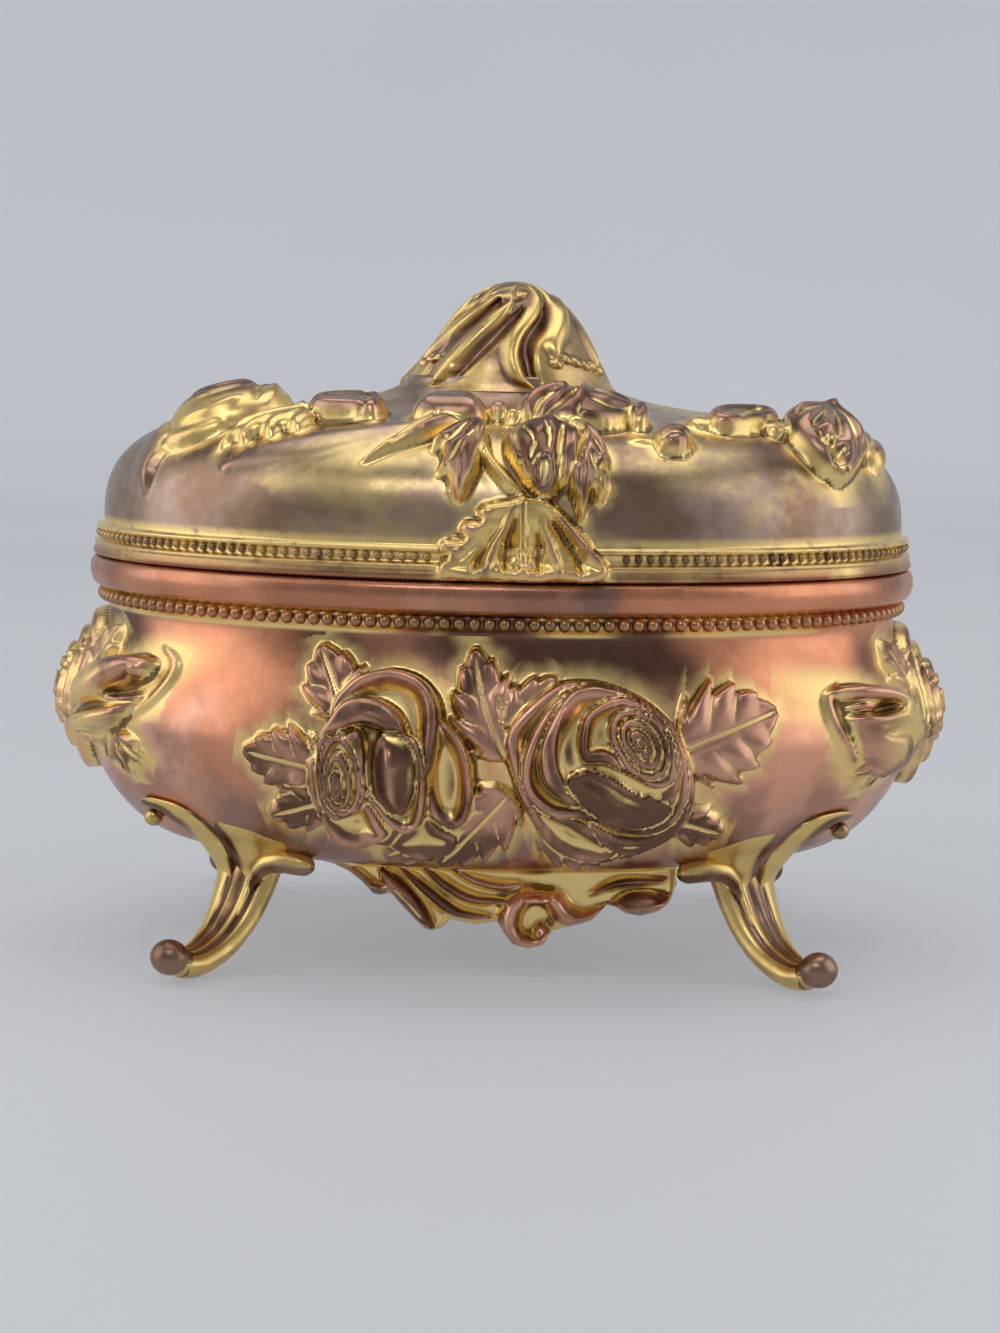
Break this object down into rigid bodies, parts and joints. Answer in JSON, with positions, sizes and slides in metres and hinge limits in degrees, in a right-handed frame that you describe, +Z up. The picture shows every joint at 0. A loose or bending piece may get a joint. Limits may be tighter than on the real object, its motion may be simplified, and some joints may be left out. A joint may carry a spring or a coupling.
{
  "type": "jewelry casket",
  "caption": "Oval cast-metal jewelry casket with a hinged domed lid, bud finial, rose relief, beaded bands, curled cabriole feet and a silk-lined inside.",
  "frame": {"origin": "on the floor under the middle of the case, at the bottom centre of the bounding box", "axes": "+Z up, -Y is the front, +X along the case's length to the viewer's right, metres"},
  "size_m": [0.1282, 0.0964, 0.0925],
  "materials": {
    "case_metal": "copper gilt, aged",
    "lid_metal": "gold gilt, aged",
    "foot_metal": "gold gilt, aged",
    "hinge_brass": "satin",
    "pin_steel": "satin",
    "card": "matte",
    "lining_silk": "satin weave",
    "lining_cord": "twisted cord"
  },
  "bodies": {
    "case": {"body_shell": "case_metal", "foot_front_left": "foot_metal", "foot_front_right": "foot_metal", "foot_rear_left": "foot_metal", "foot_rear_right": "foot_metal", "hinge_leaf_case": "hinge_brass", "hinge_pin": "pin_steel", "hinge_screws_case": "hinge_brass", "floor_board": "card", "floor_cushion": "lining_silk", "wall_lining": "lining_silk", "rim_cord": "lining_cord"},
    "lid": {"lid_shell": "lid_metal", "lid_finial": "lid_metal", "hinge_leaf_lid": "hinge_brass", "hinge_screws_lid": "hinge_brass", "lid_board": "card", "lid_pad": "lining_silk", "lid_cord": "lining_cord"}
  },
  "joints": [
    {"name": "lid_hinge", "type": "hinge", "parent": "case", "child": "lid", "pos_m": [0, 0.0459, 0.05357], "axis": [-1, 0, 0], "range_deg": [0, 100]}
  ]
}
